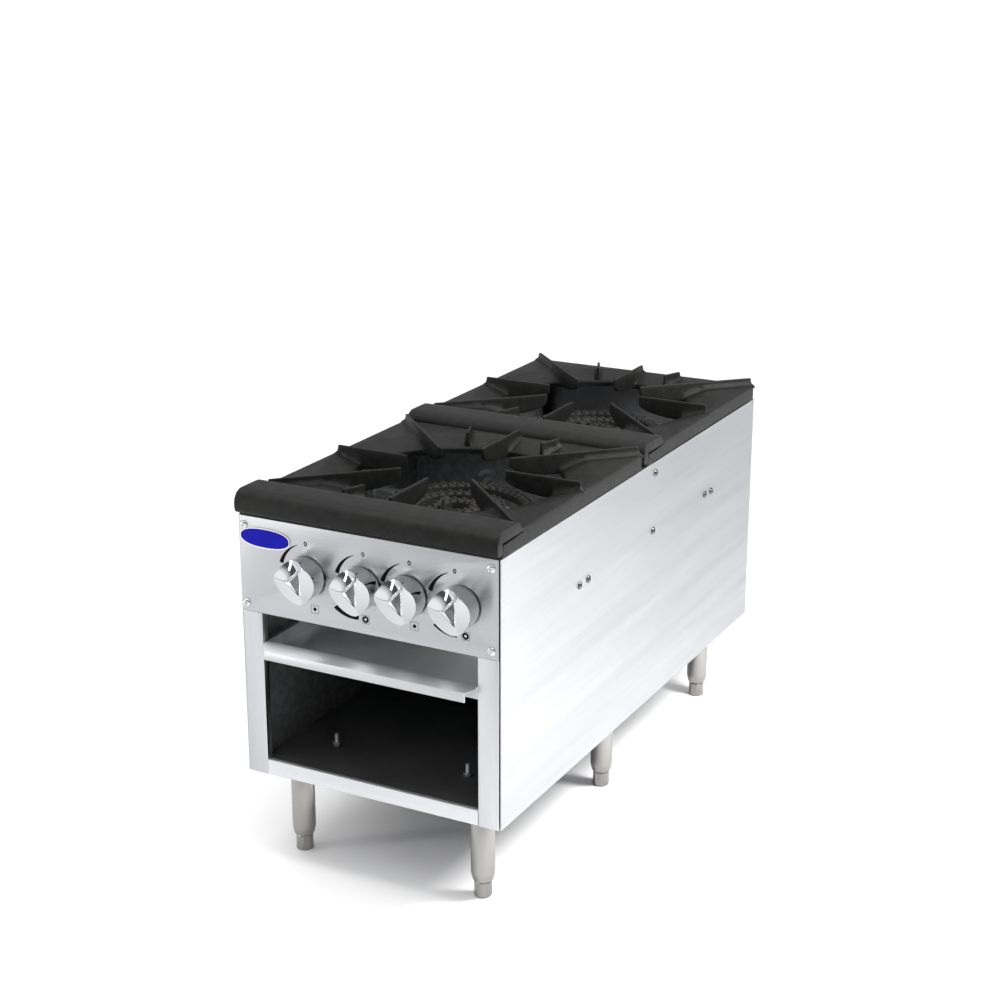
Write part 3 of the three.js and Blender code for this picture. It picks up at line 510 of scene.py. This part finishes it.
def mixing_tube(mouth_x, mouth_y, ring_x, ring_y):
    """A flared mouth, a straight tube to under the ring, and a riser: circles carried along a path."""
    way = np.array([(mouth_x, mouth_y + along) for along in (0, 4, 14, 26)])
    run = np.linspace((mouth_x, mouth_y + 40), (ring_x, ring_y), 10)
    path = np.column_stack([np.vstack([way, run]), np.full(14, gas_height)])
    radius = np.r_[16.8, 16.8, 15.2, 13.6, np.full(9, 12.8), 9]
    step = np.gradient(path, axis=0)
    step /= np.linalg.norm(step, axis=1, keepdims=True)
    side = np.stack([step[:, 1], -step[:, 0], np.zeros(14)], -1)
    turn = np.linspace(0, 2 * np.pi, 32, endpoint=False)
    grid = (path[:, None] + radius[:, None, None] * (side[:, None] * np.cos(turn)[None, :, None]
            + np.array([0, 0, 1.]) * np.sin(turn)[None, :, None]))
    mouth = path[:3, None] + np.array([11, 10.5, 9.5])[:, None, None] * (
        side[:3, None] * np.cos(turn)[None, :, None] + np.array([0, 0, 1.]) * np.sin(turn)[None, :, None])
    mouth[2, :, 1] += 4
    grid = np.concatenate([mouth[::-1], grid])
    riser = turned([(0, gas_height - 11), (9, gas_height - 10), (11.2, gas_height - 6),
                    (11.2, ring_low + 1), (0, ring_low + 1)], (ring_x, ring_y, 0), 32)
    return [surface(grid, wrap_columns=True, caps=True), riser]


def spokes(y):
    """Four arms between the small and middle rings: rounded bars on the diagonals."""
    arms = []
    for degrees in (45, 135, 225, 315):
        angle = math.radians(degrees)
        along = np.linspace(28, 70, 6)[:, None]
        turn = np.linspace(0, 2 * np.pi, 20, endpoint=False)[None]
        side = 6 * np.sign(np.cos(turn)) * np.abs(np.cos(turn)) ** .5 + 0 * along
        z = 544.5 + 5 * np.sign(np.sin(turn)) * np.abs(np.sin(turn)) ** .5 + 0 * along
        grid = np.stack([along * math.cos(angle) - side * math.sin(angle),
                         y + along * math.sin(angle) + side * math.cos(angle), z], -1)
        arms.append(surface(grid, wrap_columns=True, caps=True))
    return arms


valve_x = [-104, -6, 73, 163]
small_ring, middle_ring, large_ring = 31, 72, 116
for place, y, mouth_y, (outer, outer_degrees), (inner, inner_degrees) in (
        ("front", bowl_middle, 74, (valve_x[1], -92), (valve_x[0], -135)),
        ("rear", bowl_middle + casting_pitch, 516, (valve_x[3], -30), (valve_x[2], -45))):
    for name, node, shapes, ring, mouth_x, degrees in (
            ("large_ring", "outer", burner_ring(large_ring, y), large_ring, outer, outer_degrees),
            ("small_rings", "inner", burner_ring(middle_ring, y) + burner_ring(small_ring, y) + spokes(y),
             middle_ring, inner, inner_degrees)):
        angle = math.radians(degrees)
        shapes += mixing_tube(mouth_x, mouth_y, ring * math.cos(angle), y + ring * math.sin(angle))
        put(f"{place}_{name}", shapes, burner_cast, "cabinet",
            replaces=[f"{place}_{node}_burner"])

# ---- Knobs ----
# Die-cast zinc knobs, polished and chrome plated. Three round scoops in the face of each leave three
# ridges for the fingers, round a sunk facet in the middle.

chrome, tree, shader = finish("polished_chrome_plate", metallic=1, base_color=linear("#c2c3c6"))
haze = noise(tree, 90, 3)
vary_roughness(tree, shader, haze, .05, .12)
emboss(tree, shader, haze, .15, .0002)

knob_radius, knob_back_radius, knob_back, knob_front = 34, 32.5, 2, 42
ridges, scoop_edges, scoop_depth = (58, 169, 301), (7, 5.5, 12.5), 17


def knob_face():
    """The front of a knob over its disc: how far each point stands out. A flat face with a rounded
    edge and a sunk triangular facet in its middle that leans back, less three paraboloid scoops. The
    rim of each scoop is a circle through the outer ends of two ridges that passes the axis at a set
    distance. All are blended, so ridges are soft."""
    u = np.linspace(-np.pi / 2, np.pi / 2, 141)[1:-1, None]
    s = np.linspace(-1, 1, 161)[None]
    x = knob_radius * np.sin(u) + 0 * s
    z = knob_radius * np.cos(u) * s
    radius = np.hypot(x, z)
    left_corner_x, left_corner_z = -12.5, 2
    across, up = x - left_corner_x, z - left_corner_z
    inside = np.minimum.reduce([13.9 - .144 * z - x, .743 * across - .669 * up, .668 * across + .743 * up])
    lean, facet_bottom, wall, edge_radius, blend = .27, -18, 3, 2.2, .45
    facet = lean * (z - facet_bottom) * np.clip(inside / wall, 0, 1)
    past = np.clip((radius - knob_radius + edge_radius) / edge_radius, 0, 1)
    crest = knob_front - np.maximum(facet, 0) - edge_radius * (1 - np.sqrt(np.clip(1 - past ** 2, 0, 1)))
    total = np.exp(-crest / blend)
    for start, end, edge in zip(ridges, ridges[1:] + (ridges[0] + 360,), scoop_edges):
        spread, middle = math.radians(end - start) / 2, math.radians(start + end) / 2
        far = (knob_radius ** 2 - edge ** 2) / (2 * (knob_radius * math.cos(spread) - edge))
        from_middle = np.hypot(x - far * math.cos(middle), z - far * math.sin(middle)) / (far - edge)
        scoop = knob_front - scoop_depth * (1 - from_middle ** 2)
        total += np.exp(-scoop / blend)
    return x, z, -blend * np.log(total)


def knob(x):
    """The face, with a skirt from its rim to the back and a flat back."""
    u, w, out = knob_face()
    face = np.stack([x + u, -out, gas_height + w], -1)
    rim = np.concatenate([face[:, -1], face[::-1, 0]])
    back = rim.copy()
    back[:, 1] = -knob_back - .6
    back[:, [0, 2]] = [x, gas_height] + (rim[:, [0, 2]] - [x, gas_height]) * knob_back_radius / knob_radius
    inset = back.copy()
    inset[:, 1] = -knob_back
    centre = np.array([x, 0, gas_height])
    inset[:, [0, 2]] = centre[[0, 2]] + (back[:, [0, 2]] - centre[[0, 2]]) * (1 - .6 / knob_radius)
    shades = np.linspace(0, 1, 8)[:, None, None]
    skirt = np.concatenate([rim[None] * (1 - shades) + back[None] * shades, inset[None]])
    middle = np.broadcast_to(np.array([x, -knob_back, gas_height]), inset.shape)
    skirt = np.concatenate([skirt, middle[None]])
    # the two ends of the face grid are closed by short rows at its poles
    return [surface(face, caps=True), surface(skirt, wrap_columns=True)]


for number, x in enumerate(valve_x, 1):
    put(f"knob_casting_{number}", knob(x), chrome, f"knob_{number}", sharp=50,
        replaces=[f"knob_{number}"], weld=2e-6)

# ---- Printed marks ----
# Black ink on the control panel: a zero over each knob, tapered sweeps beside it that show how far
# it opens, and a small sign under it for the inner or the outer rings.

ink, tree, shader = finish("black_screen_print", roughness=.6, specular_ior_level=.08)
tint(tree, shader, noise(tree, 400), "#060606", "#0c0c0d")


def printed(outer, inner, closed=True):
    """A band of ink between two lines (x, z), 0.05 mm thick, on the panel."""
    def at(line, y):
        return np.column_stack([line[:, 0], np.full(len(line), y), line[:, 1]])
    grid = np.stack([at(outer, -.02), at(outer, -.07), at(inner, -.07), at(inner, -.02)])
    if closed:
        return surface(grid, wrap_rows=True, wrap_columns=True)
    return surface(np.swapaxes(grid, 0, 1), wrap_columns=True, caps=True)


def oval(x, z, radius_x, radius_z):
    """An ellipse as a closed line."""
    turn = np.linspace(0, 2 * np.pi, 32, endpoint=False)
    return np.column_stack([x + radius_x * np.cos(turn), z + radius_z * np.sin(turn)])


def sweep(x, start, end, radius_start, radius_end, wide_start, wide_end):
    """An arc round a knob whose width grows from one end to the other."""
    share = np.linspace(0, 1, 30)
    angle = np.radians(start + (end - start) * share)
    radius = radius_start + (radius_end - radius_start) * share
    wide = (wide_start + (wide_end - wide_start) * share) / 2
    lines = [np.column_stack([x + r * np.cos(angle), gas_height + r * np.sin(angle)])
             for r in (radius + wide, radius - wide)]
    return printed(*lines, closed=False)


marks = []
for x, sweep_x, zero_x, sign_x, sign_z, low_sweep in (
        (-104, -104, -105.5, -91.75, 451.75, None), (-6, -4, -3.5, -1.25, 451.5, (51, 62)),
        (73, 76, 76.5, 84, 456.5, None), (163, 158, 153, 170.5, 456.75, (48, 56))):
    marks.append(printed(oval(zero_x, 555, 2.9, 3.8), oval(zero_x, 555, 1.2, 2)))
    marks.append(sweep(sweep_x, 108, 162, 50.5, 48.7, .7, 7.6))
    marks.append(printed(rounded_loop(sign_x, sign_z, 6.8, 6.8, .8, 2, 3),
                         rounded_loop(sign_x, sign_z, 6.2, 6.2, .5, 2, 3)))
    if low_sweep:
        marks.append(sweep(x, 262, 219, *low_sweep, 7.5, 9))
        marks.append(printed(oval(sign_x, sign_z, 5.6, 5.6), oval(sign_x, sign_z, 2.3, 2.3)))
    else:
        marks.append(printed(oval(sign_x, sign_z, 3, 3), oval(sign_x, sign_z, .1, .1)))
put("printed_marks", marks, ink, "cabinet")

# ---- Badge ----
# A plate pressed from aluminium, with a raised pale rim round a field of glossy blue enamel. It is
# left bare.

enamel, tree, shader = finish("glossy_blue_enamel", roughness=.3, specular_ior_level=.12)
tint(tree, shader, noise(tree, 60), "#010196", "#0404a4")
rim_paint, tree, shader = finish("cream_enamel_rim", roughness=.3)
tint(tree, shader, noise(tree, 300), "#e9e6d8", "#f4f2e6")
badge_x, badge_z, badge_half_x, badge_half_z = -179.1, 552, 46, 16.4


def badge_loop(inset, y):
    """The badge's outline, an ellipse with slightly squared shoulders, drawn in by an inset."""
    turn = np.linspace(0, 2 * np.pi, 96, endpoint=False)
    x = np.sign(np.cos(turn)) * np.abs(np.cos(turn)) ** .86 * (badge_half_x - inset)
    z = np.sign(np.sin(turn)) * np.abs(np.sin(turn)) ** .86 * (badge_half_z - inset)
    return np.column_stack([badge_x + x, np.full(96, y), badge_z + z])


rim_section = ((.2, -.3), (0, -1), (.3, -1.6), (1, -1.75), (1.6, -1.6), (1.9, -1.2), (1.9, -.3))
field_section = ((1.8, -.3), (1.8, -1.25), (5, -1.4), (9, -1.5), (15.9, -1.5))
rim, field = [np.stack([badge_loop(*at) for at in section]) for section in (rim_section, field_section)]
put("badge_rim", [surface(rim, wrap_rows=True, wrap_columns=True)], rim_paint, "cabinet")
put("badge_field", [surface(field, wrap_columns=True, caps=True)], enamel, "cabinet",
    replaces=["badge_plate"])

# ---- Screws ----
# Truss-head screws in stainless steel, with a cross recess, hold the control panel and the sheet
# sides to what is inside them.


def screw_steel(name, code):
    """Stainless steel as cold headed: nearly bright, with a faint scuff."""
    material, tree, shader = finish(name, metallic=1, base_color=linear(code))
    vary_roughness(tree, shader, noise(tree, 500), .1, .2)
    return material


def screw(place, out, radius=6.4, height=3.2):
    """A dome over a disc, sunk where a cross is cut. Out is the direction that the head faces."""
    share = np.r_[0, np.linspace(.08, .62, 10), np.linspace(.7, 1, 8), 1][:, None]
    turn = np.linspace(0, 2 * np.pi, 48, endpoint=False)[None]
    a, b = radius * share * np.cos(turn), radius * share * np.sin(turn)
    rise = height * np.sqrt(np.clip(1 - (share * .97) ** 2.4, 0, 1)) + 0 * turn
    arm = np.minimum(np.abs(a), np.abs(b))
    rise = rise - 1.3 * np.clip((.75 - arm) / .35, 0, 1) * np.clip((.58 - share) / .1, 0, 1)
    rise[-1] = 0
    x, y, z = place
    grid = {"front": (x + a, y - rise, z + b), "right": (x + rise, y + a, z + b),
            "left": (x - rise, y + a, z + b), "back": (x + a, y + rise, z + b)}[out]
    return surface(np.stack(grid, -1), wrap_columns=True, caps=True)


panel_screws = [screw((x, .05, z), "front", 7, 3.4) for x in (-218.3, 213.4) for z in (569, 440.6)]
side_places = [(561.6, 563.3), (556.1, 462.3), (298.8, 458.6), (267.1, 458.2), (820.6, 458.9),
               (789.9, 461.1)]
side_screws = [screw((side * 228.45, y, z), out) for side, out in ((1, "right"), (-1, "left"))
               for y, z in side_places]
back_screws = [screw((x, 1026.9, z), "back") for x in (-214, 0, 214) for z in (180, 370, 560)]
bright_screw = screw_steel("bright_stainless_screw", "#c9c9cb")
put("front_screws", panel_screws, bright_screw, "cabinet")
# The side screws are the same stainless steel with a darker colour: a painted reflection of the dark studio
# that their heads face.
put("side_screws", side_screws, screw_steel("stainless_screw_painted_dark_reflection", "#5f6063"), "cabinet")
put("back_screws", back_screws, bright_screw, "cabinet")

# ---- Drip tray ----
# The tray is folded from one stainless sheet; its front is a sloping strip that ends in a grip
# turned straight down, cut off at the corners.

bent_sheet("tray_sheet", "drip_tray", tray_steel, "drip_tray")

# ---- Legs and feet ----
# Each leg is a brushed steel tube drawn in at the bottom, with a threaded foot that has flats for a
# spanner.

leg_tube = brushed_steel("drawn_stainless_leg_tube", 2, (1, .2, 0), code="#a2a09d", roughness=.36,
                         anisotropic=.5, line=1.2)
foot_steel = brushed_steel("turned_stainless_foot", 2, (0, 0, 1), code="#9a9894", roughness=.3,
                           anisotropic=.3)
leg_x, leg_y = 166, (60, 498, 941)
leg_profile = [(0, 150), (18.6, 150), (19, 149.4), (19, 42), (18.9, 40.4), (18.2, 37.5), (16.6, 30),
               (16, 28.4), (15.4, 28), (8.1, 28), (8.1, 44), (0, 44)]


def foot(x, y):
    """A sole, eight flats drawn in from the round, and a stem: circles whose radius is capped by the
    distance to the flats."""
    profile = np.array([(0, 0), (12.2, 0), (13, .5), (14.1, 2), (14.3, 3), (14.3, 8), (14.3, 12),
                        (14.3, 23), (13.6, 25), (12, 27.2), (11, 27.5), (7.6, 27.5), (7.6, 95), (7, 96),
                        (0, 96)])
    turn = np.linspace(0, 2 * np.pi, 64, endpoint=False)
    flat = 13.1 / np.cos((turn + np.pi / 8) % (np.pi / 4) - np.pi / 8)
    radius, height = profile[:, :1], profile[:, 1:]
    capped = np.where((height >= 8) & (height <= 23), np.minimum(radius, flat), radius + 0 * flat)
    grid = np.stack([x + capped * np.cos(turn), y + capped * np.sin(turn), height + 0 * capped], -1)
    return surface(grid, wrap_columns=True)


number = 0
for y in leg_y:
    for side in (-1, 1):
        number += 1
        put(f"leg_tube_{number}", [turned(leg_profile, (side * leg_x, y, 0), 64)], leg_tube, "cabinet",
            replaces=[f"leg_{number}"])
        put(f"foot_turned_{number}", [foot(side * leg_x, y)], foot_steel, f"foot_{number}",
            replaces=[f"foot_{number}"])

# ---- Zinc-plated fittings ----
# Channels, runners, burner bars and the two shelf bolts are mild steel under bright zinc, with the
# faint spangle of the plating bath.

zinc, tree, shader = finish("bright_zinc_plate", metallic=.9, roughness=.38)
tint(tree, shader, spangle(tree, 120), "#8d9094", "#abaeb2", 0, 1)
dress(zinc, "leg_channel_front", "leg_channel_middle", "leg_channel_rear", "tray_runner_left",
      "tray_runner_right", "burner_bar_front", "burner_bar_rear")

bolt_x, bolt_y, shelf_top = 121, 95, 178.5


def threaded(x, y, low, high, radius=4, pitch=1.25):
    """A stud whose radius follows a triangle wave along its height, turned round its axis."""
    z = np.arange(low, high, pitch / 6)
    turn = np.linspace(0, 2 * np.pi, 25)[None, :-1]
    phase = (z[:, None] / pitch - turn / (2 * np.pi)) % 1
    fade = np.clip((high - 1 - z[:, None]) / 1.2, 0, 1)
    r = radius - .55 * np.abs(2 * phase - 1) - .7 * (1 - fade)
    grid = np.stack([x + r * np.cos(turn), y + r * np.sin(turn), z[:, None] + 0 * turn], -1)
    return surface(grid, wrap_columns=True, caps=True)


def nut(x, y, low, flats=13, height=6.5):
    """A hexagon with its corners chamfered: the radius is the smaller of the flats and a cone."""
    turn = np.linspace(0, 2 * np.pi, 48, endpoint=False)
    hexagon = flats / 2 / np.cos((turn + np.pi / 6) % (np.pi / 3) - np.pi / 6)
    levels = np.array([0, 0, .9, height - .9, height, height])
    limit = np.array([0, 6.6, 7.6, 7.6, 6.6, 0])[:, None]
    r = np.minimum(limit, hexagon[None])
    grid = np.stack([x + r * np.cos(turn), y + r * np.sin(turn), low + levels[:, None] + 0 * r], -1)
    return surface(grid, wrap_columns=True)


for name, side in (("left", -1), ("right", 1)):
    x = side * bolt_x
    put(f"bolt_and_nut_{name}", [threaded(x, bolt_y, 162, 200.5), nut(x, bolt_y, shelf_top + .3)], zinc,
        "cabinet", replaces=[f"shelf_bolt_{name}"])

# ---- Gas train ----
# Brass valves stand on a black iron manifold; aluminium tubes feed the pilots and the rear burner.

pipe_black, tree, shader = finish("black_iron_pipe", metallic=.3, roughness=.5)
tint(tree, shader, noise(tree, 80, 4), "#1f1f1f", "#333130")
dress(pipe_black, "manifold_pipe", "gas_inlet_pipe")
valve_brass, tree, shader = finish("machined_brass", metallic=1, roughness=.35)
tint(tree, shader, noise(tree, 300), "#a98a4c", "#c0a05e")
dress(valve_brass, *[f"valve_{i}" for i in range(1, 5)], *[f"shaft_{i}" for i in range(1, 5)])
drawn_tube, tree, shader = finish("drawn_aluminium_tube", metallic=1, roughness=.32)
tint(tree, shader, noise(tree, 150, 3), "#a2a4a6", "#bcbec0")
dress(drawn_tube, "supply_tube_inner", "supply_tube_outer", "pilot_front", "pilot_rear")
